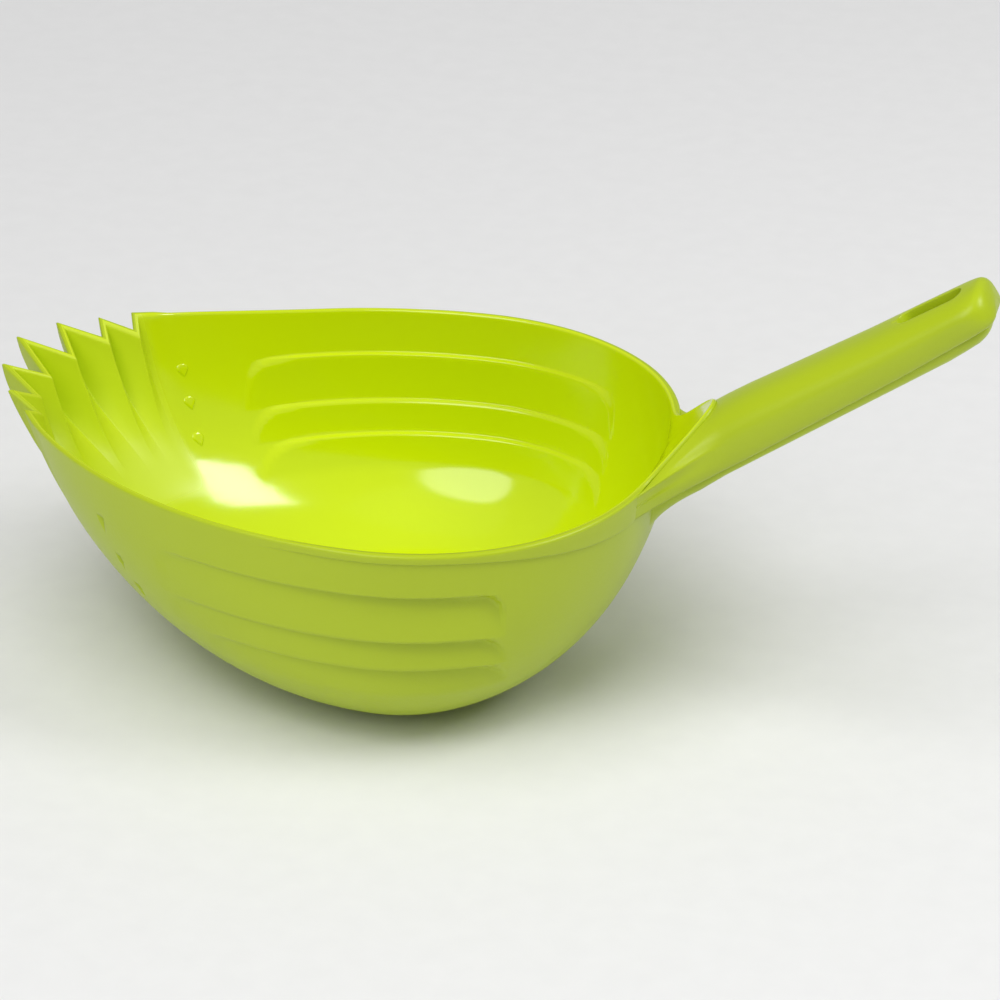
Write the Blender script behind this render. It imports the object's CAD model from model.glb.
# %% [markdown]
# # A moulded leaf scoop
#
# The real object is one shot of lime-green plastic: a deep oval bowl with a
# pleated row of fingers on its nose, ledges pressed into its long walls and a
# round hollow grip.  The frame holds the sizes.  This lesson makes the skin:
# every surface is a formula on a grid of numbers, worked out with numpy.

import math

import bmesh
import bpy
import numpy as np
from mathutils import Matrix, Vector


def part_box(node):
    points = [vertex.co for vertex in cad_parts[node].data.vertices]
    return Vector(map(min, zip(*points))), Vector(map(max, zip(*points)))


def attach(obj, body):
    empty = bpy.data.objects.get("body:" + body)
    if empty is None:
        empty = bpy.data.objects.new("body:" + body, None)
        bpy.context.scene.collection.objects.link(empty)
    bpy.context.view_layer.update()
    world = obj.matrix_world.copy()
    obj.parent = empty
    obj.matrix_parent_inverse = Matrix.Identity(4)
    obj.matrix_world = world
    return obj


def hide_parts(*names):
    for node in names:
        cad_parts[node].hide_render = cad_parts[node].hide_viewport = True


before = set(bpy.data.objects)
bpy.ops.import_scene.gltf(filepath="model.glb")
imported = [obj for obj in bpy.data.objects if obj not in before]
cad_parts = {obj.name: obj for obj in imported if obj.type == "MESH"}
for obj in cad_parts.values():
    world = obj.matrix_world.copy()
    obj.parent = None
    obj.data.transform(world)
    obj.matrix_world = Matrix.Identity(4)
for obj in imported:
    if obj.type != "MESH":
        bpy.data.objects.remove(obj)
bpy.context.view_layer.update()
print("frame nodes:", len(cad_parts))

# %% [markdown]
# ## Driving sizes
#
# All lengths below are millimetres in the frame's own axes: the origin is the
# flat spot under the bowl, +X runs to the grip and +Y is the side where the
# fingers start.  The half width is compared with the frame's bowl, so that
# the skin and the frame can't drift apart unseen.

# %% Sizes of the bowl
MM = 0.001
RIM = 88.0
FLAT_TRIM = 1.0
WALL = 2.2
HALF_WIDTH = 96.0
NOSE_REACH, HEEL_REACH = 151.0, 88.5
NOSE_POINT, HEEL_POINT = 0.60, 0.42
SIDE_FULL, SIDE_LEAN = 3.5, 0.02
NOSE_FULL, NOSE_LEAN = 2.9, 0.24
HEEL_FULL, HEEL_LEAN, HEEL_FLARE = 2.5, 0.10, 0.80
HALVINGS = 45

bowl_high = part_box("bowl")[1]
print("half width: skin %.1f mm, frame %.1f mm" % (HALF_WIDTH, bowl_high[1] / MM))

# %% [markdown]
# ## The wall of the bowl
#
# From above the bowl is an oval with a sharper nose and a blunter heel.  From
# the side each wall is a leaning superellipse, nearly upright at the rim and
# turning under to a flat spot.  The same two formulas shaped the frame.

# %% Wall formulas
def share_left(depth, fullness, lean, flare=None):
    """Width left at a depth, 1 at the rim and 0 at the bottom: (1 - lean d)
    times the superellipse (1 - d^n)^(1/n).  Above the rim the wall goes on
    outwards in a straight line, by its lean or by a flare of its own."""
    below = np.clip(depth, 0, 1)
    curve = (1 - lean * below) * (1 - below ** fullness) ** (1 / fullness)
    outward = 1 - (lean if flare is None else flare) * depth
    return np.where(depth < 0, outward, curve)


def wall_radius(turn, height, inset):
    """Distance from the upright axis to the wall.  turn is in radians from
    the nose line.  The oval is (x / reach)^2 + (y / side)^(1 / point) = 1,
    and halving finds the radius for all directions at once."""
    depth = (RIM - height) / (RIM + FLAT_TRIM - inset)
    side = (HALF_WIDTH - inset) * share_left(depth, SIDE_FULL, SIDE_LEAN)
    nose = (NOSE_REACH - inset) * share_left(depth, NOSE_FULL, NOSE_LEAN)
    heel = (HEEL_REACH - inset) * share_left(depth, HEEL_FULL, HEEL_LEAN, HEEL_FLARE)
    forward = np.cos(turn) > 0
    reach = np.where(forward, nose, heel)
    power = np.where(forward, 1 / NOSE_POINT, 1 / HEEL_POINT)
    low = np.zeros(np.broadcast(turn, height).shape)
    high = low + reach + side
    for _ in range(HALVINGS):
        middle = (low + high) / 2
        along = np.abs(middle * np.cos(turn)) / np.maximum(reach, 1e-6)
        across = np.abs(middle * np.sin(turn)) / np.maximum(side, 1e-6)
        within = along ** 2 + across ** power < 1
        low = np.where(within, middle, low)
        high = np.where(within, high, middle)
    return low


def smooth(low, high, value):
    """An S-curve from 0 at low to 1 at high."""
    share = np.clip((value - low) / (high - low), 0, 1)
    return share * share * (3 - 2 * share)


print("rim reach at the nose %.1f mm" % wall_radius(np.array(0.0), np.array(RIM), 0.0))

# %% [markdown]
# ## The fingers
#
# The nose wall is folded like a paper fan.  Each finger is a long plate that
# runs out to a tip, and a short riser that steps back to the next crease.
# Seen from above the fold is a zigzag, so it can be a sideways push on the
# plain wall: out at the tips, in at the creases, and fading down the wall.
# The tips are also higher than the creases, which draws the saw edge.

# %% Finger stations
# direction from the nose line in degrees, push on the wall, height above RIM
# and depth where the push ends; tips are on the outer skin, creases on the inner
FAN = np.array([
    (27.0, 0.0, 5.4, 50), (21.5, 2.0, 7.6, 50), (20.0, -6.5, 0.0, 54), (17.6, 5.8, 7.3, 50),
    (15.5, -5.0, 0.0, 54), (13.2, 12.2, 7.3, 50), (8.8, -7.0, 0.0, 54), (7.25, 14.0, 7.3, 47),
    (1.9, -10.0, 0.0, 54), (-0.8, 6.2, 7.2, 34), (-4.7, -10.0, 0.0, 50), (-8.4, 3.0, 7.2, 30),
    (-10.4, -8.6, 0.2, 44), (-13.0, -0.3, 5.2, 50), (-19.0, 0.0, 3.8, 50),
])[::-1]
IS_TIP = FAN[:, 1] >= -0.5
CREASES = (20.0, 15.5, 8.8, 1.9, -4.7, -10.4)
FOLD_DEPTH = 58.0
FINGER_DEPTH = 24.0
# the pushes are whole down to this height above RIM
FAN_ABOVE = 4
# how far a tip with a push over LONG_PUSH bulges half way down, and how much a
# sharp fold lifts the crease on one skin and lowers the tip on the other
TIP_BULGE, LONG_PUSH, FOLD_RISE = 3.0, 5, 7.0


def gone_share(height):
    """How far down its own depth each station is, from 0 at the top to 1
    where its push ends."""
    return np.clip((RIM + FAN_ABOVE - height) / FAN[:, 3], 0, 1)


def push_share(height):
    """How much of each station's push is left at a height.  Both ease out to
    nothing: a tip holds longer before it gives way than a crease does."""
    gone = gone_share(height)
    return np.where(IS_TIP, (1 - gone) ** 2 * (1 + 2 * gone), (1 - gone) ** 1.7)


print("fingers:", len(CREASES) - 1)

# %% [markdown]
# ## The rim line
#
# The rim is level along the long walls.  It rises towards the nose, more on
# the side with the fingers, and at the heel it climbs as a bell-shaped arch
# that closes the open end of the grip.

# %% Rim line
ARCH_RISE = 21.0
ARCH_HALF = 16.8
# rise, distance from the middle where it starts, length that it is given over, power
NEAR_NOSE = (3.7, 17.5, 100, 2.16)
FAR_NOSE = (7.2, 62, 64, 2)
HEEL = (3.3, 45.5, 70, 2)


def climb_past(distance, rise, start, length, power):
    """rise ((distance - start) / length)^power, and 0 before the start."""
    return rise * (np.clip(distance - start, 0, None) / length) ** power


def rim_top(turn, arch=ARCH_RISE):
    """Height of the plain rim's top: nose rise, heel rise and arch."""
    radius = wall_radius(turn, np.full(turn.shape, RIM), 0.0)
    along, across = -radius * np.cos(turn), radius * np.sin(turn)
    rise = np.where(across > 0, climb_past(-along, *FAR_NOSE), climb_past(-along, *NEAR_NOSE))
    rise = rise + climb_past(along, *HEEL)
    bell = np.exp(-(np.abs(across) / ARCH_HALF) ** 2.2) * (along > 0)
    return RIM + rise + arch * bell


print("arch top: %.1f mm" % rim_top(np.array([math.pi]))[0])

# %% [markdown]
# ## Ledges and dimples
#
# Three panels on each long wall lean inwards from a crisp line, so the wall
# steps in and then runs back out to meet the next line.  A panel's mask is a
# rounded rectangle: its distance field gives the soft rounded corner.  Six
# teardrop dimples outside, with pips inside, keep stacked scoops apart.

# %% Ledge and dimple push
LEDGES = (17.5, 36.0, 48.5, 60.0)
LEDGE_STEP = 2.6
FAR_FRONT, FAR_BACK = (-88.0, -84.0, -79.0), (52.0, 50.5, 49.0)
NEAR_FRONT, NEAR_BACK = (-75.0, -71.0, -58.0), (49.5, 48.5, 47.5)
CORNER = 8.0
# share of the step on the far wall, on the near wall at the nose, and what the
# near wall gains towards the heel
FAR_SHARE, NEAR_SHARE, NEAR_GAIN = 0.7, 0.35, 1.05
DIMPLE_DEEP = 1.7
# half width at the top, height of the top over the centre, length of the taper
DIMPLE_HALF, DIMPLE_ABOVE, DIMPLE_TAPER = 1.9, 2.2, 5.2
# millimetres of wall to a degree round the bowl, near the dimples
MM_PER_DEGREE = 2.05
# direction from the nose line in degrees, depth below RIM
DIMPLES = ((-32.3, 19.1), (-33.7, 34.4), (-35.4, 45.6), (26.5, 16.4), (26.2, 28.6), (25.4, 41.4))


def ledge_push(along, across, depth):
    """How far the wall leans in: a full step just under a line, nothing at
    the next line.  Distance to a rounded rectangle rounds the ends, and the
    near wall's step shrinks towards the nose."""
    push = np.zeros(along.shape)
    far = across > 0
    for number, (upper, lower) in enumerate(zip(LEDGES, LEDGES[1:])):
        front = np.where(far, FAR_FRONT[number], NEAR_FRONT[number])
        back = np.where(far, FAR_BACK[number], NEAR_BACK[number])
        out_x = np.maximum(front + CORNER - along, along - (back - CORNER))
        out_d = upper + CORNER - depth
        corner = np.hypot(np.clip(out_x, 0, None), np.clip(out_d, 0, None))
        distance = corner + np.minimum(np.maximum(out_x, out_d), 0) - CORNER
        slope = 0.5 + 0.7 * smooth(-CORNER, 0, out_x)
        mask = smooth(0.45, -slope, distance)
        lean = np.clip((lower - depth) / (lower - upper), 0, 1)
        fade = np.where(far, FAR_SHARE, NEAR_SHARE + NEAR_GAIN * smooth(-60, 40, along))
        push = np.maximum(push, mask * lean * fade * LEDGE_STEP)
    return push


def dimple_push(turn, depth):
    """Teardrops pressed into the outer wall: blunt above, pointed below."""
    push = np.zeros(turn.shape)
    for degrees, centre in DIMPLES:
        aside = np.abs(np.degrees(turn) - degrees) * MM_PER_DEGREE
        down = depth - centre
        width = np.clip(DIMPLE_HALF * (1 - (down + DIMPLE_ABOVE) / DIMPLE_TAPER), 0.05, DIMPLE_HALF)
        hollow = (1 - np.clip(aside / width, 0, 1) ** 4) * smooth(-2.6, -1.8, down)
        push = np.maximum(push, hollow * smooth(3.0, 1.0, down))
    return push


# %% [markdown]
# ## One closed grid for the bowl
#
# The whole shell is one sheet that starts at a pole under the bowl, climbs the
# outside, rolls over the rim, runs down the inside and ends at a pole on the
# floor of the bowl.  Columns are directions round the bowl and rows are steps
# along that path.  Both are packed closely where the shape turns quickly, so
# creases and ledge lines stay crisp.

# %% Columns and rows
turns = [np.arange(-180, 180, 1.2), np.arange(117.1, 131, 0.5), -np.arange(117.1, 131, 0.5),
         np.arange(36.1, 47, 0.4)]
turns += [np.linspace(low, high, 6) for low, high in zip(FAN[:-1, 0], FAN[1:, 0])]
turns += [np.arange(degrees - 1.6, degrees + 1.6, 0.25) for degrees, _ in DIMPLES]
turns += [FAN[:, 0] + step for step in (-0.1, 0, 0.1)]
turns = np.unique(np.round(np.concatenate(turns), 2))
turns = np.radians(turns[(turns >= -180) & (turns < 180)])

depths = [np.arange(2.4, 15, 1.4), np.arange(15, 62, 1.5), np.arange(62, 88, 2.0)]
depths += [np.array([FINGER_DEPTH, 87.2, 88.0])]
depths += [np.array(LEDGES[:3]) + step for step in (-0.4, -0.15, 0.15, 0.4)]
depths = np.unique(np.round(np.concatenate(depths), 2))
gaps = np.append(True, np.diff(depths) > 0.22)
depths = depths[gaps | (depths == FINGER_DEPTH)]
print("columns:", len(turns), "rows on a wall:", len(depths))

# %% [markdown]
# ## Points of the shell
#
# The outer and the inner wall are worked out row by row and joined by a
# half-round over the rim.  In the fan the two skins stay one wall thickness
# apart, measured square to each folded side, as in a real moulding.

# %% Points of the shell
FLAT_RINGS = 9
ROLL_STEPS = 7
ROLL = WALL / 2
BLEND = 14.0


def fan_points(height):
    """Outer and inner corners of the fan at each height, as two arrays of
    rows by stations by x and y, and the rises of both.  A tip is given on the
    outer skin and a crease on the inner skin.  The other skin's corner is one
    wall thickness away from both sides, along t (n1 + n2) / (1 + n1.n2)."""
    turn = np.radians(FAN[:, 0])[None, :]
    radius = wall_radius(turn, height, 0.0)
    left = push_share(height)
    hold = TIP_BULGE * np.sin(math.pi * gone_share(height)) * (FAN[:, 1] > LONG_PUSH)
    tip = radius + FAN[:, 1] * left + hold
    crease = radius - WALL * (1 - left) + FAN[:, 1] * left
    given = np.where(IS_TIP, tip, crease)
    corner = np.stack([-given * np.cos(turn), given * np.sin(turn)], axis=-1)
    line = np.diff(corner, axis=1)
    length = np.linalg.norm(line, axis=-1, keepdims=True)
    # +1 where a side runs from tip to crease, -1 from crease to tip, 0 on the plain wall
    swap = (IS_TIP[:-1].astype(float) - IS_TIP[1:].astype(float))[None, :, None]
    turned = np.stack([-line[..., 1], line[..., 0]], axis=-1)
    straight = np.sqrt(np.maximum(length ** 2 - WALL ** 2, 1e-6))
    line = (line * np.where(swap == 0, length, straight) + swap * WALL * turned) / length ** 2
    normal = np.stack([-line[..., 1], line[..., 0]], axis=-1)
    before = np.concatenate([normal[:, :1], normal], axis=1)
    after = np.concatenate([normal, normal[:, -1:]], axis=1)
    dot = np.clip((before * after).sum(axis=-1, keepdims=True), -0.93, 1)
    across = WALL * (before + after) / (1 + dot)
    tips = IS_TIP[None, :, None]
    outer = np.where(tips, corner, corner + across)
    inner = np.where(tips, corner - across, corner)
    reach = np.linalg.norm(across, axis=-1)
    slip = np.sqrt(np.maximum(reach ** 2 - WALL ** 2, 0))
    side = np.minimum(np.concatenate([length[:, :1], length], axis=1),
                      np.concatenate([length, length[:, -1:]], axis=1))[..., 0]
    share = np.clip(slip / np.maximum(side, 1e-6), 0, 0.8)
    rise = FOLD_RISE * share * (FAN[:, 0] < 24) * (FAN[:, 0] > -15)
    return outer, inner, FAN[:, 2] + np.where(IS_TIP, 0, rise), FAN[:, 2] - np.where(IS_TIP, rise, 0)


def along_fan(values):
    """Carry values at the stations to every column of the fan, in a straight
    line from station to station."""
    place = np.interp(np.degrees(turns[fan]), FAN[:, 0], np.arange(len(FAN)))
    low = np.minimum(place.astype(int), len(FAN) - 2)
    share = place - low
    if values.ndim == 3:
        share = share[:, None]
    return values[:, low] * (1 - share) + values[:, low + 1] * share


fan = (np.degrees(turns) >= FAN[0, 0]) & (np.degrees(turns) <= FAN[-1, 0])
edge = fan_points(np.full((1, 1), RIM + 3.0))
rim_outer, rim_inner = rim_top(turns), rim_top(turns)
merge = smooth(0, 3.0, np.minimum(np.degrees(turns[fan]) - FAN[0, 0], FAN[-1, 0] - np.degrees(turns[fan])))
rim_outer[fan] = rim_outer[fan] * (1 - merge) + (RIM + along_fan(edge[2])[0]) * merge
rim_inner[fan] = rim_inner[fan] * (1 - merge) + (RIM + along_fan(edge[3])[0]) * merge


def to_points(radius, height):
    """From radius and height at each column to x, y and z."""
    return np.stack([-radius * np.cos(turns), radius * np.sin(turns), height], axis=-1)


def fold(points, inner):
    """Move the columns of the fan onto its folded sides.  The fold's weight
    fades with depth and at both ends of the fan."""
    height = points[:, fan, 2]
    corners = fan_points(height.mean(axis=1, keepdims=True))
    folded = along_fan(corners[1 if inner else 0])
    weight = (smooth(FOLD_DEPTH, 18, RIM - height) * merge)[..., None]
    points[:, fan, :2] = points[:, fan, :2] * (1 - weight) + folded * weight
    return points


def wall_rows(inset, lowest, top):
    """Points of the wall rows, top row first.  Near the rim the rows follow
    the rim's own line, further down they lie level."""
    depth = np.minimum(depths, RIM - lowest)[:, None]
    share = np.clip((depth - depths[0]) / (BLEND - depths[0]), 0, 1)
    start = top[None, :] - depths[0]
    height = np.where(depth < BLEND, start + (RIM - BLEND - start) * share, RIM - depth)
    turn = np.broadcast_to(turns[None, :], height.shape)
    radius = wall_radius(turn, height, inset)
    along, across = -radius * np.cos(turn), radius * np.sin(turn)
    push = -ledge_push(along, across, RIM - height)
    if inset == 0:
        push = push - DIMPLE_DEEP * dimple_push(turn, RIM - height)
    return fold(to_points(radius + push, height), inset > 0)


def flat_rows(edge_row):
    """Rings that shrink evenly from the edge of the flat spot to its middle."""
    share = (1 - np.arange(1, FLAT_RINGS + 1) / FLAT_RINGS)[:, None, None]
    return edge_row * (share * np.array([1, 1, 0]) + np.array([0, 0, 1]))


outer_wall = wall_rows(0.0, 0.0, rim_outer)
inner_wall = wall_rows(WALL, WALL, rim_inner)
roll_angle = np.linspace(0, math.pi, ROLL_STEPS)[:, None]
over = (1 - np.cos(roll_angle)) / 2
roll_height = rim_outer * (1 - over) + rim_inner * over - ROLL
roll_turn = np.broadcast_to(turns, roll_height.shape)
roll_out = fold(to_points(wall_radius(roll_turn, roll_height, 0.0), roll_height), False)
roll_in = fold(to_points(wall_radius(roll_turn, roll_height, WALL), roll_height), True)
roll = roll_out * (1 - over[..., None]) + roll_in * over[..., None]
roll[..., 2] += ROLL * np.sin(roll_angle)

shell_points = np.concatenate([flat_rows(outer_wall[-1])[::-1], outer_wall[::-1], roll,
                               inner_wall, flat_rows(inner_wall[-1])])
ROWS, COLUMNS = shell_points.shape[:2]
print("shell grid:", ROWS, "x", COLUMNS)

# %% [markdown]
# ## Cutting the grid into pieces
#
# The fingers are regions of the same moulding, cut out of the grid along the
# creases.  Each region gets the cells that it owns, and its cut edges are
# closed by thin walls between the outer and the inner skin.  The normals are
# measured on the uncut grid, so no joint shows.

# %% Grid cells and their normals
def grid_cells(rows, columns, closed):
    """Four corner indices for every cell of a grid, as one array."""
    last = columns if closed else columns - 1
    row, column = np.meshgrid(np.arange(rows - 1), np.arange(last), indexing="ij")
    right = (column + 1) % columns
    return np.stack([row * columns + column, (row + 1) * columns + column,
                     (row + 1) * columns + right, row * columns + right], axis=-1)


def corner_normals(points, cells):
    """Area-weighted normal of every point: half the cross product of a cell's
    diagonals, added up over the cells that share the point."""
    one, two, three, four = (points[cells[:, corner]] for corner in range(4))
    area = np.cross(three - one, four - two)
    normal = np.zeros(points.shape)
    for corner in range(4):
        np.add.at(normal, cells[:, corner], area)
    return normal / np.maximum(np.linalg.norm(normal, axis=1, keepdims=True), 1e-9)


def place(name, mesh, slot, nodes):
    """Link a finished mesh, ride it on the root body and say what it replaces."""
    mesh.polygons.foreach_set("use_smooth", np.ones(len(mesh.polygons), dtype=bool))
    piece = bpy.data.objects.new(name, mesh)
    bpy.context.collection.objects.link(piece)
    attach(piece, "root")
    if nodes:
        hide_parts(*nodes)
    print(name, len(mesh.vertices), "points,", len(mesh.polygons), "faces")
    return piece


def shell_piece(name, faces, glossy, slot, nodes):
    """A region of the shell: faces is a list of arrays of corner indices, and
    glossy says which of them lie on the inside of the bowl."""
    corners = np.concatenate([np.ravel(part) for part in faces])
    used, packed = np.unique(corners, return_inverse=True)
    mesh = bpy.data.meshes.new(name)
    sizes = np.concatenate([np.full(len(part), part.shape[1]) for part in faces])
    lists = np.split(packed, np.cumsum(sizes)[:-1])
    mesh.from_pydata((shell_flat[used] * MM).tolist(), [], [part.tolist() for part in lists])
    piece = place(name, mesh, slot, nodes)
    mesh.polygons.foreach_set("material_index", np.concatenate(glossy).astype(np.int32))
    mesh.normals_split_custom_set(normals[corners].tolist())
    return piece


# %% [markdown]
# ## Where the shell is cut
#
# A finger runs from its foot over the rim to the same depth inside.  So the
# cuts are two rows of the grid and the columns of the creases.

# %% Split the shell
all_cells = grid_cells(ROWS, COLUMNS, True)
shell_flat = shell_points.reshape(-1, 3)
normals = corner_normals(shell_flat, all_cells.reshape(-1, 4))
normals[[0, (ROWS - 1) * COLUMNS]] = (0, 0, -1), (0, 0, 1)
wall_count = len(depths)
deep_row = int(np.argmin(np.abs(depths - FINGER_DEPTH)))
first_row = FLAT_RINGS + wall_count - 1 - deep_row
last_row = ROWS - 1 - first_row
half_roll = ROLL_STEPS // 2
inner_start = FLAT_RINGS + wall_count + half_roll
marks = [int(np.argmin(np.abs(np.degrees(turns) - degrees))) for degrees in CREASES]


def side_cap(column, flip):
    """Thin walls across the shell at a column, from the finger's foot up."""
    row = np.arange(first_row, inner_start)
    across = ROWS - 1 - row
    cap = np.stack([row, row + 1, across - 1, across], axis=-1) * COLUMNS + column
    last = cap[-1, [0, 1, 3]][None]
    cap = cap[:-1]
    return [cap[:, ::-1], last[:, ::-1]] if flip else [cap, last]


def foot_cap(start, end, flip):
    """The wall across the shell at the finger's foot."""
    column = np.arange(start, end)
    low, high = first_row * COLUMNS, last_row * COLUMNS
    cap = np.stack([low + column, low + column + 1, high + column + 1, high + column], axis=-1)
    return [cap[:, ::-1]] if flip else [cap]


inside_row = np.arange(ROWS - 1) >= inner_start
in_fan = np.zeros((ROWS - 1, COLUMNS), dtype=bool)
in_fan[first_row:last_row, marks[-1]:marks[0]] = True
poles = np.zeros((ROWS - 1, COLUMNS), dtype=bool)
poles[[0, -1]] = True
row_gloss = np.broadcast_to(inside_row[:, None], in_fan.shape)

quads = all_cells[~in_fan & ~poles]
under = all_cells[0][:, [0, 1, 2]]
floor_fan = all_cells[-1][:, [0, 1, 3]]
under[:, 0] = 0
floor_fan[:, 1] = (ROWS - 1) * COLUMNS
caps = side_cap(marks[0], True) + side_cap(marks[-1], False) + foot_cap(marks[-1], marks[0], False)
bowl_nodes = ["bowl", "heel_arch"]
bowl_nodes += ["ledge_%s_%d" % (side, number) for side in ("far", "near") for number in (1, 2, 3)]
bowl_gloss = [row_gloss[~in_fan & ~poles], np.zeros(COLUMNS), np.ones(COLUMNS)]
bowl_gloss += [np.zeros(len(cap)) for cap in caps]
bowl = shell_piece("bowl_skin", [quads, under, floor_fan] + caps, bowl_gloss, "lime_plastic", bowl_nodes)

# %% [markdown]
# ## Five finger pieces
#
# Each finger is the block of cells between two creases.  One loop makes all
# five, because they differ only in the columns where they start and end.

# %% Fingers
fingers = []
for number in range(1, len(CREASES)):
    start, end = marks[number], marks[number - 1]
    block = np.zeros(in_fan.shape, dtype=bool)
    block[first_row:last_row, start:end] = True
    caps = side_cap(start, True) + side_cap(end, False) + foot_cap(start, end, True)
    gloss = [row_gloss[block]] + [np.zeros(len(cap)) for cap in caps]
    name = "finger_%d" % number
    fingers.append(shell_piece(name + "_skin", [all_cells[block]] + caps, gloss, "lime_plastic", [name]))

# %% [markdown]
# ## Band under the rim
#
# Outside, a thin band strengthens the rim from the middle of each long wall
# back, and it grows into the side of the grip.  It is a small profile carried
# along the rim: a point is given by its direction, its drop below the rim's
# top and how far it stands out of the wall.

# %% Rim bands
ROOT_TURN = 156.8
ROOT_DROP = 10.5
BAND_HEIGHT = 3.4
BAND_FROM, BAND_TO, BAND_STEPS = 60, 164, 140
# corners of the band's section, out of the wall and back into it: share of the
# stand-out, share of the drop, and a fixed part of both
BAND_PROFILE = np.array([
    (0, 1, -0.6, 0.25), (0, 1, 0, 0.25), (0.72, 1, 0, 0.1), (0.93, 1, 0, -0.12), (1, 1, 0, -0.5),
    (1, 0.5, 0, 0), (1, 0, 0, 1.5), (0.95, 0, 0, 1.0), (0.8, 0, -0.05, 0.6), (0.5, 0, -0.3, 0.22),
    (0.2, 0, -0.7, 0.03), (0, 0, -1.1, 0.0), (0, 0, -1.2, 0.6), (0, 1, -0.6, 0.25),
])


def on_wall(degrees, drop, out, top=None):
    """A point beside the outer wall, from direction, drop and stand-out."""
    turn = np.radians(degrees)
    height = (rim_top(turn) if top is None else top) - drop
    radius = wall_radius(turn, height, 0.0) + out
    return np.stack([-radius * np.cos(turn), radius * np.sin(turn), height], axis=-1)


def closed_piece(name, grids, slot, nodes):
    """Join grids into one closed mesh: merge what meets, drop what has no
    area, and turn every face outwards."""
    mesh = bpy.data.meshes.new(name)
    points = np.concatenate([grid.reshape(-1, 3) for grid in grids])
    offsets = np.cumsum([0] + [grid.shape[0] * grid.shape[1] for grid in grids[:-1]])
    faces = [grid_cells(grid.shape[0], grid.shape[1], False).reshape(-1, 4) + offset
             for grid, offset in zip(grids, offsets)]
    mesh.from_pydata((points * MM).tolist(), [], np.concatenate(faces).tolist())
    shape = bmesh.new()
    shape.from_mesh(mesh)
    bmesh.ops.remove_doubles(shape, verts=shape.verts, dist=2e-6)
    bmesh.ops.dissolve_degenerate(shape, edges=shape.edges, dist=1e-6)
    bmesh.ops.recalc_face_normals(shape, faces=shape.faces)
    open_edges = sum(1 for edge in shape.edges if not edge.is_manifold)
    shape.to_mesh(mesh)
    shape.free()
    if open_edges:
        print(name, "open or shared edges:", open_edges)
    return place(name, mesh, slot, nodes)


def band_drop(degrees):
    """Height of the band: BAND_HEIGHT, growing to ROOT_DROP at the grip."""
    return BAND_HEIGHT + (ROOT_DROP - BAND_HEIGHT) * smooth(104, ROOT_TURN, np.abs(degrees)) ** 1.4


def band_out(degrees):
    """How far the band stands out: it rises out of the wall to 0.9 mm
    and sinks back where the crown takes over."""
    return 1.2 * smooth(58, 96, np.abs(degrees)) - 0.3 - 1.0 * smooth(156, 163, np.abs(degrees))


share_out, share_drop, add_out, add_drop = BAND_PROFILE.T[:, None, :]
bands = []
for side, side_name in ((1, "far"), (-1, "near")):
    degrees = np.linspace(BAND_FROM, BAND_TO, BAND_STEPS)[:, None] * side
    drop, out = band_drop(degrees), band_out(degrees)
    sunk = 0.35 * smooth(0.4, -0.2, out)
    ring = on_wall(degrees + 0 * add_out, share_drop * drop + add_drop + sunk, share_out * out + add_out)
    ends = np.repeat(ring[[0, -1]].mean(axis=1, keepdims=True), ring.shape[1], axis=1)
    ring = np.concatenate([ends[:1], ring, ends[1:]])
    bands.append(closed_piece("band_%s_skin" % side_name, [ring], "lime_plastic", ["band_" + side_name]))

# %% [markdown]
# ## Pips
#
# Inside, each dimple shows as a small raised teardrop.  It is a dome on the
# inner wall, drawn as rings round a pole, and its hidden back is closed.

# %% Pips
PIP_HALF, PIP_WIDER = 1.6, 1.35


def pip_grid(degrees, depth):
    """Rings of a teardrop: half width PIP_HALF times PIP_WIDER above, narrowing
    to a point below, and standing 0.45 mm off the inner wall with a rounded shoulder."""
    ring = np.array([0, 0.35, 0.6, 0.75, 0.87, 0.95, 1.0, 1.0, 0.0])[:, None]
    proud = np.array([0.45, 0.45, 0.43, 0.38, 0.26, 0.1, -0.15, -0.7, -0.7])[:, None]
    around = np.linspace(0, 2 * math.pi, 33)[None, :]
    down = -np.cos(around)
    half = PIP_HALF * np.sqrt(np.clip(1 - down ** 2, 0, 1)) * (1 - 0.72 * np.clip(down, 0, 1) ** 1.3)
    long = np.where(down > 0, 3.2, 2.0) * down
    height = RIM - depth - ring * long
    turn = math.radians(degrees)
    centre = wall_radius(np.array(turn), np.array(RIM - depth), WALL)
    turn = turn + ring * half * np.sign(np.sin(around)) / centre * PIP_WIDER
    radius = wall_radius(turn, height, WALL) - proud
    return np.stack([-radius * np.cos(turn), radius * np.sin(turn), height + 0 * radius], axis=-1)


pips = []
for index, (degrees, depth) in enumerate(DIMPLES):
    node = "pip_%s_%d" % ("near" if degrees < 0 else "far", index % 3 + 1)
    pips.append(closed_piece(node + "_skin", [pip_grid(degrees, depth)], "gloss_inside", [node]))

# %% [markdown]
# ## The grip
#
# The grip is a tube in two regions.  The crown is its rounded upper part.  Its
# root grows out of the arch and out of the rim bands, so its first rows are
# blended from a line on the bowl to a section of the grip.  The keel is the
# narrower lower part, and between them runs a thin crease.  A long hole for a
# hook goes through both near the end.

# %% Grip directions
GRIP_START = np.array([100.5, 0.0, 83.9])
GRIP_ANGLE = math.radians(34.5)
FORWARD = np.array([math.cos(GRIP_ANGLE), 0.0, math.sin(GRIP_ANGLE)])
UPWARD = np.array([-math.sin(GRIP_ANGLE), 0.0, math.cos(GRIP_ANGLE)])
SIDEWAYS = np.array([0.0, 1.0, 0.0])
SLOT_FROM, SLOT_TO, SLOT_HALF = 92.0, 117.5, 4.4
HOLE_ROUND = 0.4
ROW_STEP = 2.5
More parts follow.
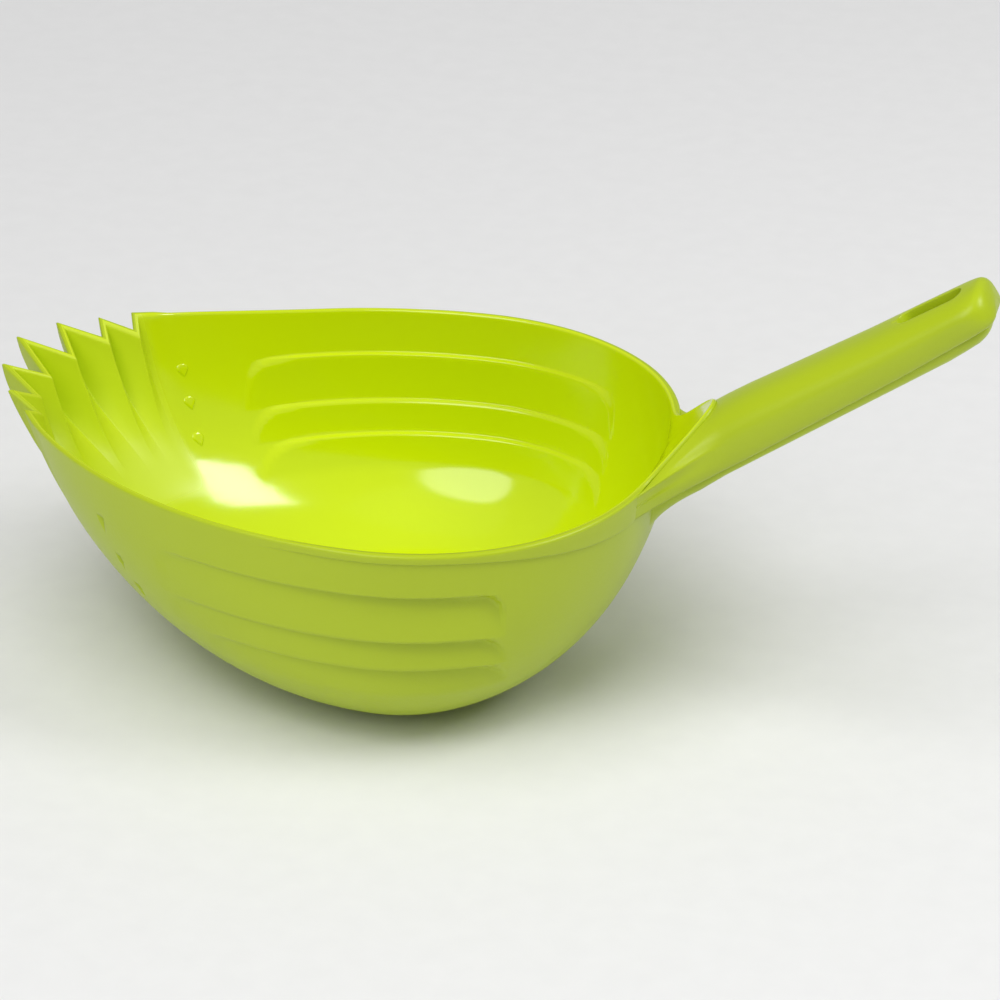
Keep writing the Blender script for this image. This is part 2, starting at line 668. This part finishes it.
# where the points lie across the crown's flat bottom and across the keel's lid,
# as shares of the width
BOTTOM = np.array([0, 0.05, 0.3, 0.6, 0.85, 0.97, 1.0])
LID = np.array([1.0, 0.98, 0.7, 0.35, 0.0])


def in_grip(along, across, above):
    """From the grip's own directions to the frame's."""
    return (GRIP_START + along[..., None] * FORWARD + across[..., None] * SIDEWAYS
            + above[..., None] * UPWARD)


def slot_half(along):
    """Half width of the hanging hole: a straight slot with round ends."""
    inward = np.minimum(along - SLOT_FROM, SLOT_TO - along)
    inward = np.clip(inward, 0, SLOT_HALF)
    return np.sqrt(SLOT_HALF ** 2 - (SLOT_HALF - inward) ** 2)


def end_share(along, start, end, power):
    """1 up to start, then a superellipse down to 0 at end."""
    share = np.clip((along - start) / (end - start), 0, 1)
    return (1 - share ** power) ** (1 / power)


hole_rows = np.concatenate([SLOT_FROM + SLOT_HALF * (1 - np.cos(np.linspace(0, math.pi / 2, 9))),
                            np.linspace(SLOT_FROM + SLOT_HALF, SLOT_TO - SLOT_HALF, 9),
                            SLOT_TO - SLOT_HALF * (1 - np.cos(np.linspace(math.pi / 2, 0, 9)))])


def section_places(start, end, first_angle, steps):
    """Distances along the grip, as a column: even steps, the hole's own rows,
    and rows that crowd towards the end, at end - (end - SLOT_TO) cos(angle)."""
    angle = np.linspace(first_angle, math.pi / 2, steps)
    return np.concatenate([np.arange(start, SLOT_FROM - 1.0, ROW_STEP), hole_rows,
                           end - (end - SLOT_TO) * np.cos(angle)])[:, None]


def crease_above(along):
    """Height of the crease between crown and keel, over the grip's axis."""
    return np.interp(along, [18, 87, 120], [0.0, 1.2, 2.6])


print("rows at the hole:", len(hole_rows))

# %% [markdown]
# ## The crown's section
#
# A section is one line of points round the grip, at a distance along it.
# The crown's has a flat bottom, a small lip and a rounded top, and it shrinks
# to nothing at the end of the grip.

# %% Sections of the crown
CROWN_END = 126.4
BLEND_END = 22.0
POWER = 2.5
LIP = 2.4
CREST_ALONG = [0, 16, 30, 55, 79, 103, 117, 127]
CREST_ABOVE = [18.7, 18.7, 18.6, 17.5, 16.5, 16.0, 15.6, 15.3]
# share of the crown's side that starts on the band's face, below the arch
FOOT_SHARE = 0.13
# points of a section: along the bottom, up the lip, over the side, at the hole
BOTTOM_POINTS, LIP_POINTS, SIDE_POINTS, HOLE_POINTS = len(BOTTOM), 7, 33, 3


def crown_section(along):
    """Near half of the section, from the bottom middle past the crease and
    over the side to the top middle.  Above the widest line it is a
    superellipse, below it a quarter ellipse curls back to the crease."""
    end = end_share(along, 113.0, CROWN_END, 3.0)
    tall = end_share(along, 121.5, CROWN_END, 3.0)
    wide = np.interp(along, [0, 20, 127], [16.0, 16.0, 13.6]) * end
    low = crease_above(along)
    crest = np.interp(along, CREST_ALONG, CREST_ABOVE)
    middle = low + 6.0
    crest, low = middle + (crest - middle) * tall, middle - (middle - low) * tall
    hole, lip = slot_half(along), np.minimum(LIP, wide * 0.3)
    rim = np.minimum(hole, HOLE_ROUND)

    across = [hole + (wide - lip - np.minimum(0.25, 0.1 * wide) - hole) * BOTTOM]
    above = [low + 0.2 * tall + 0 * BOTTOM]
    angle = np.radians(np.array([90, 86, 75, 60, 45, 30, 15]))
    across.append(wide - lip * (1 - np.cos(angle)))
    above.append(middle - (middle - low) * np.sin(angle))
    angle = np.radians(np.linspace(0, 90, SIDE_POINTS))
    part = np.cos(angle) ** (2 / POWER)
    reach = hole + rim + (wide - hole - rim) * part
    across.append(reach)
    round_top = (1 - np.clip(reach / np.maximum(wide, 1e-6), 0, 1) ** POWER) ** (1 / POWER)
    above.append(middle + (crest - middle) * round_top)
    edge = above[-1][:, -1:]
    across.append(hole + rim * np.array([0.55, 0.2, 0.0]))
    above.append(edge - rim * np.array([0.08, 0.4, 1.0]))
    return -np.concatenate(across, axis=1), np.concatenate(above, axis=1)


def halves(grid, holed):
    """A near half, its mirror image, and the walls of the hole between the
    loop's last point and its first."""
    share = np.linspace(0, 1, 7)[None, :, None]
    wall = grid[holed, -1][:, None] * (1 - share) + grid[holed, 0][:, None] * share
    mirror = np.array([1.0, -1.0, 1.0])
    return [grid, grid * mirror, wall, wall * mirror]


def hermite(start, end, leave, arrive, rows):
    """Rows between two loops: the cubic that starts along one direction and
    arrives along the other, each pulled by the distance between the loops."""
    share = np.linspace(0, 1, rows)[:, None, None]
    pull = np.linalg.norm(end - start, axis=-1, keepdims=True)
    return ((2 * share ** 3 - 3 * share ** 2 + 1) * start + (3 * share ** 2 - 2 * share ** 3) * end
            + (share ** 3 - 2 * share ** 2 + share) * pull * leave
            + (share ** 3 - share ** 2) * pull * arrive)


def unit(vector):
    """The same direction with length 1."""
    return vector / np.maximum(np.linalg.norm(vector, axis=-1, keepdims=True), 1e-9)


def grip_region(name, root_drop, root_out, blended, rows, along):
    """Close the hidden root at a point inside the heel wall, add the mirror
    half and the walls of the hole, and make the piece."""
    inside_wall = on_wall(np.array([-180.0]), root_drop, root_out, rim_top(np.array([math.pi]), 0.0))
    root_cap = np.repeat(inside_wall[None], rows.shape[1], axis=1)
    grid = np.concatenate([root_cap, blended, rows])
    hole_start = 1 + len(blended) + int(np.argmin(np.abs(along[:, 0] - SLOT_FROM)))
    holed = slice(hole_start, hole_start + len(hole_rows))
    return closed_piece(name + "_skin", halves(grid, holed), "lime_plastic", [name])


# %% [markdown]
# ## The crown and its root
#
# The real grip flows out of the bowl without a joint.  So the first loop lies
# on the bowl, and a cubic carries each of its points to the first section.

# %% Crown
ROOT_SUNK, ROOT_PROUD, ARCH_SUNK = 1.1, 0.3, 0.45
ARCH_DROP = 0.5
SAG = 0.15
LEAN_OUT = 0.1
LOOK_ROUND = 0.5
BLEND_ROWS = 24

crown_along = section_places(BLEND_END, CROWN_END, 0.12, 22)
across, above = crown_section(crown_along)
crown_rows = in_grip(crown_along + 0 * across, across, above)

# the first loop lies on the bowl: under the band's edge, up its face, along the arch
loop_under = np.linspace(1.0, 0.5, LIP_POINTS)
loop_side = np.linspace(0, 1, SIDE_POINTS)
climb = np.clip(loop_side / FOOT_SHARE, 0, 1)
round_arch = np.clip((loop_side - FOOT_SHARE) / (1 - FOOT_SHARE), 0, 1) ** 0.75
swing = 180 - ROOT_TURN
degrees = -np.concatenate([180 - swing * BOTTOM, np.full(LIP_POINTS, ROOT_TURN),
                           ROOT_TURN + swing * round_arch, np.full(HOLE_POINTS, 180.0)])
low_part = np.arange(len(degrees)) < BOTTOM_POINTS + LIP_POINTS
drop = ROOT_DROP * np.concatenate([np.ones(BOTTOM_POINTS), loop_under, 0.5 * (1 - climb),
                                   np.zeros(HOLE_POINTS)])
drop = drop + np.where(low_part, 0, ARCH_DROP)
stand_side = ROOT_PROUD - (ROOT_PROUD + ARCH_SUNK) * smooth(0.1, 0.5, loop_side)
stand = np.concatenate([np.full(BOTTOM_POINTS, -ROOT_SUNK), np.full(LIP_POINTS, ROOT_PROUD),
                        stand_side, np.full(HOLE_POINTS, -ARCH_SUNK)])
loop_top = np.where(low_part, rim_top(np.radians(degrees), 0.0), rim_top(np.radians(degrees)))
root_loop = on_wall(degrees, drop, stand, loop_top)

# each point leaves round the bowl near the band, and straight to the grip elsewhere
ahead = degrees - LOOK_ROUND
next_loop = on_wall(ahead, drop, stand, rim_top(np.radians(ahead), 0.0))
here_loop = on_wall(degrees, drop, stand, rim_top(np.radians(degrees), 0.0))
round_bowl = unit(next_loop - here_loop)
turn_out = np.concatenate([1 - BOTTOM ** 2, np.zeros(LIP_POINTS), smooth(0.0, 0.4, loop_side),
                           np.ones(HOLE_POINTS)])[:, None]
away = unit(root_loop * np.array([1.0, 1.0, 0.0]))
straight = unit(crown_rows[0] - root_loop)
dip = smooth(0.1, 0.35, loop_side) * smooth(0.9, 0.55, loop_side)
sag = np.concatenate([np.zeros(BOTTOM_POINTS + LIP_POINTS), dip, np.zeros(HOLE_POINTS)])
straight[..., 2] -= SAG * sag
leave = unit(round_bowl * (1 - turn_out) + straight * turn_out + LEAN_OUT * away * (1 - turn_out))
blended = hermite(root_loop, crown_rows[0], leave, FORWARD, BLEND_ROWS)[:-1]
crown = grip_region("crown", 8.0, -ROOT_SUNK, blended, crown_rows, crown_along)

# %% [markdown]
# ## The keel
#
# The lower shell is made in the same way, narrower and flatter.  Its lid is
# hidden in the crown, so only a thin crease shows between the two.

# %% Keel
KEEL_END = 121.6
KEEL_ROOT = 0.0
KEEL_POWER = 2.8
QUARTER = np.radians(np.linspace(90, 0, 25))
# the root on the bowl: half width, radius of the heel there, drop of its sides
# and how much lower its middle lies
ROOT_HALF, HEEL_RADIUS = 14.6, 86.5
ROOT_SIDE, ROOT_DEEP = 12.0, 27.0


def keel_section(along):
    """Near half of the keel: from the bottom middle over a superellipse to
    the side, and up to a lid that is hidden in the crown."""
    end = end_share(along, 106.0, KEEL_END, 2.4)
    tall = end_share(along, 114.0, KEEL_END, 2.2)
    wide = np.interp(along, [-10, 20, 127], [13.4, 12.9, 10.6]) * end
    low = crease_above(along)
    deep = np.interp(along, [0, 12, 103, 121], [-4.7, -3.7, -3.6, -2.4])
    deep = low - (low - deep) * tall
    hole = slot_half(along)
    rim = np.minimum(hole, HOLE_ROUND)
    reach = hole + rim + (wide - hole - rim) * np.cos(QUARTER) ** (2 / KEEL_POWER)
    fall = (1 - np.clip(reach / np.maximum(wide, 1e-6), 0, 1) ** KEEL_POWER) ** (1 / KEEL_POWER)
    across = [hole + rim * np.array([0.0, 0.2, 0.55]), reach]
    above = [deep + rim * np.array([1.0, 0.4, 0.08]), low - (low - deep) * fall]
    across.append(hole + (wide - hole) * LID)
    above.append(low + 1.8 * tall * np.minimum(1, 60 * (1 - LID) + 0.8))
    return -np.concatenate(across, axis=1), np.concatenate(above, axis=1)


keel_along = section_places(KEEL_ROOT, KEEL_END, 0.15, 16)
across, above = keel_section(keel_along)
keel_rows = in_grip(keel_along + 0 * across, across, above)
spread = np.concatenate([np.zeros(HOLE_POINTS), np.cos(QUARTER), LID])
fall = np.concatenate([np.ones(HOLE_POINTS), np.sin(QUARTER), np.full(len(LID), -0.25)])
degrees = -(180 - np.degrees(np.arcsin(ROOT_HALF * spread / HEEL_RADIUS)))
keel_loop = on_wall(degrees, ROOT_SIDE + ROOT_DEEP * fall, -0.5, rim_top(np.radians(degrees), 0.0))
leave = unit((keel_rows[0] - keel_loop) * np.array([0.15, 1.0, 1.0]))
blended = hermite(keel_loop, keel_rows[0], leave, FORWARD, 18)[:-1]
keel = grip_region("keel", 15.0, -1.2, blended, keel_rows, keel_along)

# %% [markdown]
# ## Finish of the plastic
#
# Moulded plastic is never one flat colour.  Slow clouds show where it flowed
# and cooled, a fine grain softens the gloss outside, and the polished inside
# keeps hair scratches.  One node group makes these patterns, and each
# material places it with its own values.

# %% Shader group
def make_group():
    """Inputs are two colours, two roughness values and the sizes of the
    patterns.  Outputs are a colour, a roughness and a height."""
    group = bpy.data.node_groups.new("moulded plastic", "ShaderNodeTree")
    add = group.interface.new_socket
    for name, kind, value in (
            ("Colour", "NodeSocketColor", (0.5, 0.6, 0.02, 1)),
            ("Deep colour", "NodeSocketColor", (0.4, 0.5, 0.02, 1)),
            ("Polished", "NodeSocketFloat", 0.1), ("Worn", "NodeSocketFloat", 0.3),
            ("Cloud scale", "NodeSocketFloat", 12.0), ("Grain scale", "NodeSocketFloat", 900.0),
            ("Grain share", "NodeSocketFloat", 0.5), ("Scratch share", "NodeSocketFloat", 0.2)):
        add(name, in_out="INPUT", socket_type=kind).default_value = value
    add("Colour", in_out="OUTPUT", socket_type="NodeSocketColor")
    add("Roughness", in_out="OUTPUT", socket_type="NodeSocketFloat")
    add("Height", in_out="OUTPUT", socket_type="NodeSocketFloat")
    node = group.nodes.new
    link = group.links.new
    given, out = node("NodeGroupInput"), node("NodeGroupOutput")
    where = node("ShaderNodeTexCoord")

    clouds = node("ShaderNodeTexNoise")
    clouds.inputs["Detail"].default_value = 3.0
    link(where.outputs["Object"], clouds.inputs["Vector"])
    link(given.outputs["Cloud scale"], clouds.inputs["Scale"])
    tint = node("ShaderNodeMix")
    tint.data_type = "RGBA"
    link(clouds.outputs["Fac"], tint.inputs["Factor"])
    link(given.outputs["Colour"], tint.inputs["A"])
    link(given.outputs["Deep colour"], tint.inputs["B"])
    link(tint.outputs["Result"], out.inputs["Colour"])

    grain = node("ShaderNodeTexNoise")
    grain.inputs["Detail"].default_value = 2.0
    link(where.outputs["Object"], grain.inputs["Vector"])
    link(given.outputs["Grain scale"], grain.inputs["Scale"])

    turned = node("ShaderNodeMapping")
    turned.inputs["Rotation"].default_value = (0.3, 0.2, 0.7)
    turned.inputs["Scale"].default_value = (12.0, 420.0, 60.0)
    link(where.outputs["Object"], turned.inputs["Vector"])
    hairs = node("ShaderNodeTexNoise")
    hairs.inputs["Scale"].default_value = 1.0
    hairs.inputs["Detail"].default_value = 1.0
    link(turned.outputs["Vector"], hairs.inputs["Vector"])
    scratch = node("ShaderNodeMapRange")
    scratch.inputs["From Min"].default_value = 0.62
    scratch.inputs["From Max"].default_value = 0.72
    link(hairs.outputs["Fac"], scratch.inputs["Value"])
    faint = node("ShaderNodeMath")
    faint.operation = "MULTIPLY"
    link(scratch.outputs["Result"], faint.inputs[0])
    link(given.outputs["Scratch share"], faint.inputs[1])

    worn = node("ShaderNodeMath")
    worn.operation = "MULTIPLY_ADD"
    worn.inputs[1].default_value = 0.5
    link(grain.outputs["Fac"], worn.inputs[0])
    link(faint.outputs["Value"], worn.inputs[2])
    gloss = node("ShaderNodeMapRange")
    link(worn.outputs["Value"], gloss.inputs["Value"])
    link(given.outputs["Polished"], gloss.inputs["To Min"])
    link(given.outputs["Worn"], gloss.inputs["To Max"])
    link(gloss.outputs["Result"], out.inputs["Roughness"])

    height = node("ShaderNodeMath")
    height.operation = "MULTIPLY"
    link(grain.outputs["Fac"], height.inputs[0])
    link(given.outputs["Grain share"], height.inputs[1])
    link(height.outputs["Value"], out.inputs["Height"])
    return group


def plastic(name, group, colour, deep, polished, worn, grain, scratches, bump, bend):
    """A lime plastic: the group's colour, roughness and height feed one
    Principled shader, whose constants are set on its own sockets."""
    material = bpy.data.materials.new(name)
    material.use_nodes = True
    nodes, link = material.node_tree.nodes, material.node_tree.links.new
    shader = nodes["Principled BSDF"]
    pattern = nodes.new("ShaderNodeGroup")
    pattern.node_tree = group
    for socket, value in (("Colour", (*colour, 1)), ("Deep colour", (*deep, 1)), ("Polished", polished),
                          ("Worn", worn), ("Grain share", grain), ("Scratch share", scratches)):
        pattern.inputs[socket].default_value = value
    relief = nodes.new("ShaderNodeBump")
    relief.inputs["Strength"].default_value = bump
    relief.inputs["Distance"].default_value = 0.0002
    link(pattern.outputs["Colour"], shader.inputs["Base Color"])
    fan_share = nodes.new("ShaderNodeAttribute")
    fan_share.attribute_name = "unpolished"
    fan_rough = nodes.new("ShaderNodeMath")
    fan_rough.operation = "MULTIPLY"
    fan_rough.inputs[1].default_value = 0.5
    link(fan_share.outputs["Fac"], fan_rough.inputs[0])
    rougher = nodes.new("ShaderNodeMath")
    rougher.operation = "MAXIMUM"
    link(pattern.outputs["Roughness"], rougher.inputs[0])
    link(fan_rough.outputs["Value"], rougher.inputs[1])
    link(rougher.outputs["Value"], shader.inputs["Roughness"])
    link(pattern.outputs["Height"], relief.inputs["Height"])
    link(relief.outputs["Normal"], shader.inputs["Normal"])
    shader.inputs["IOR"].default_value = bend
    print("material:", name)
    return material


group = make_group()
satin = plastic("lime satin", group, (0.46, 0.58, 0.010), (0.42, 0.54, 0.008),
                polished=0.32, worn=0.46, grain=1.0, scratches=0.0, bump=0.25, bend=1.49)
gloss = plastic("lime gloss", group, (0.63, 0.77, 0.001), (0.60, 0.74, 0.001),
                polished=0.10, worn=0.22, grain=0.2, scratches=0.3, bump=0.05, bend=1.75)
# where the polish fades out: directions in degrees on both sides of the nose,
# and depth under the rim
FADE_FAR, FADE_NEAR, FADE_LOW = (25, 20), (-24, -16), (64, 50)
for piece in [bowl] + fingers:
    # the mould's polish stops at the fan: 1 on the folds, 0 on the smooth wall
    spot = np.empty(len(piece.data.vertices) * 3)
    piece.data.vertices.foreach_get("co", spot)
    spot = spot.reshape(-1, 3) / MM
    turn = np.degrees(np.arctan2(spot[:, 1], -spot[:, 0]))
    unpolished = smooth(*FADE_FAR, turn) * smooth(*FADE_NEAR, turn) * smooth(*FADE_LOW, RIM - spot[:, 2])
    share = piece.data.attributes.new("unpolished", "FLOAT", "POINT")
    share.data.foreach_set("value", unpolished)
    piece.data.materials.append(satin)
    piece.data.materials.append(gloss)
for piece in bands + [crown, keel]:
    piece.data.materials.append(satin)
for piece in pips:
    piece.data.materials.append(gloss)

# %% [markdown]
# ## Floor, light and camera
#
# A plain pale floor and a pale surrounding give the soft base light.  Large
# soft boxes above shape the round forms and leave the long reflections that
# a polished bowl shows.  The camera looks down at the bowl from the near side
# of the nose, from far enough away for a calm perspective.

# %% Floor
def flat_sheet(name, corners):
    """One four-cornered face."""
    mesh = bpy.data.meshes.new(name)
    mesh.from_pydata(corners, [], [tuple(range(len(corners)))])
    sheet = bpy.data.objects.new(name, mesh)
    bpy.context.collection.objects.link(sheet)
    return sheet


floor = flat_sheet("floor", [(-6, -6, 0), (6, -6, 0), (6, 6, 0), (-6, 6, 0)])
paper = bpy.data.materials.new("pale paper")
paper.use_nodes = True
paper_shader = paper.node_tree.nodes["Principled BSDF"]
paper_shader.inputs["Roughness"].default_value = 0.7
fibre = paper.node_tree.nodes.new("ShaderNodeTexNoise")
fibre.inputs["Scale"].default_value = 90.0
paper_where = paper.node_tree.nodes.new("ShaderNodeTexCoord")
paper.node_tree.links.new(paper_where.outputs["Object"], fibre.inputs["Vector"])
paper_tone = paper.node_tree.nodes.new("ShaderNodeMapRange")
paper_tone.inputs["To Min"].default_value = 0.78
paper_tone.inputs["To Max"].default_value = 0.82
paper.node_tree.links.new(fibre.outputs["Fac"], paper_tone.inputs["Value"])
paper.node_tree.links.new(paper_tone.outputs["Result"], paper_shader.inputs["Base Color"])
floor.data.materials.append(paper)

# %% [markdown]
# ## Pale surroundings
#
# A weak white surrounding fills the shadows, as the walls of a studio do.

# %% Surroundings
world = bpy.data.worlds.new("studio")
bpy.context.scene.world = world
bpy.context.scene.view_settings.view_transform = "Standard"
world.use_nodes = True
world.node_tree.nodes["Background"].inputs["Color"].default_value = (1.0, 1.0, 1.0, 1)
world.node_tree.nodes["Background"].inputs["Strength"].default_value = 0.23

# %% [markdown]
# ## Overhead light
#
# One very wide soft light comes from above, as from a lit ceiling.  It is
# kept out of reflections, so that it adds no highlight of its own.

# %% Overhead light
overhead = bpy.data.lights.new("overhead", "SUN")
overhead.energy, overhead.angle = 1.5, math.radians(50)
sky = bpy.data.objects.new("overhead", overhead)
bpy.context.collection.objects.link(sky)
sky.rotation_euler = Vector((0.10, 0.26, -1.0)).to_track_quat("-Z", "Y").to_euler()
sky.visible_glossy = False

# %% [markdown]
# ## Soft boxes
#
# A long rectangle and a round light are what the polished bowl reflects.
# Each is given by its place and by two vectors along its sides.

# %% Soft boxes
def soft_box(name, place, long_side, short_side, power, shape="RECTANGLE"):
    """A light whose face is spanned by two vectors, lit on the side that the
    bowl is on; metres and watts."""
    light = bpy.data.lights.new(name, "AREA")
    light.shape = shape
    light.size, light.size_y, light.energy = Vector(long_side).length, Vector(short_side).length, power
    box = bpy.data.objects.new(name, light)
    bpy.context.collection.objects.link(box)
    across = Vector(long_side).normalized()
    facing = across.cross(Vector(short_side)).normalized()
    if facing.dot(Vector(place)) < 0:
        facing.negate()
    rotation = Matrix((across, facing.cross(across), facing)).transposed().to_4x4()
    box.matrix_world = Matrix.Translation(place) @ rotation
    return box


soft_box("window box", (0.98, 0.03, 1.15), (-0.41, 0.385, 0.395), (-0.14, -0.365, 0.125), 6.5)
soft_box("round box", (-0.35, -1.10, 1.12), (1.05, 0.0, 0.35), (0.0, 0.8, 0.8), 7.5, "ELLIPSE")

# %% [markdown]
# ## Camera
#
# A long lens from one and a half metres keeps the perspective calm.

# %% Camera
AZIMUTH, ELEVATION = math.radians(14.286), math.radians(28.0)
DISTANCE = 1.5
AIM = np.array([28.5, 0.0, 68.0])
SHIFT_RIGHT, SHIFT_UP = 0.854, 5.39
LENS, SENSOR = 151.2, 36.0
right = np.array([math.cos(AZIMUTH), math.sin(AZIMUTH), 0.0])
back = np.array([math.sin(AZIMUTH) * math.cos(ELEVATION), -math.cos(AZIMUTH) * math.cos(ELEVATION),
                 math.sin(ELEVATION)])
up = np.cross(back, right)
aim = AIM * MM - right * SHIFT_RIGHT * MM - up * SHIFT_UP * MM
camera = bpy.data.objects.new("camera", bpy.data.cameras.new("camera"))
bpy.context.collection.objects.link(camera)
camera.data.lens = LENS
camera.data.sensor_width = SENSOR
camera.location = aim + back * DISTANCE
camera.rotation_euler = Vector(-back).to_track_quat("-Z", "Y").to_euler()
bpy.context.scene.camera = camera
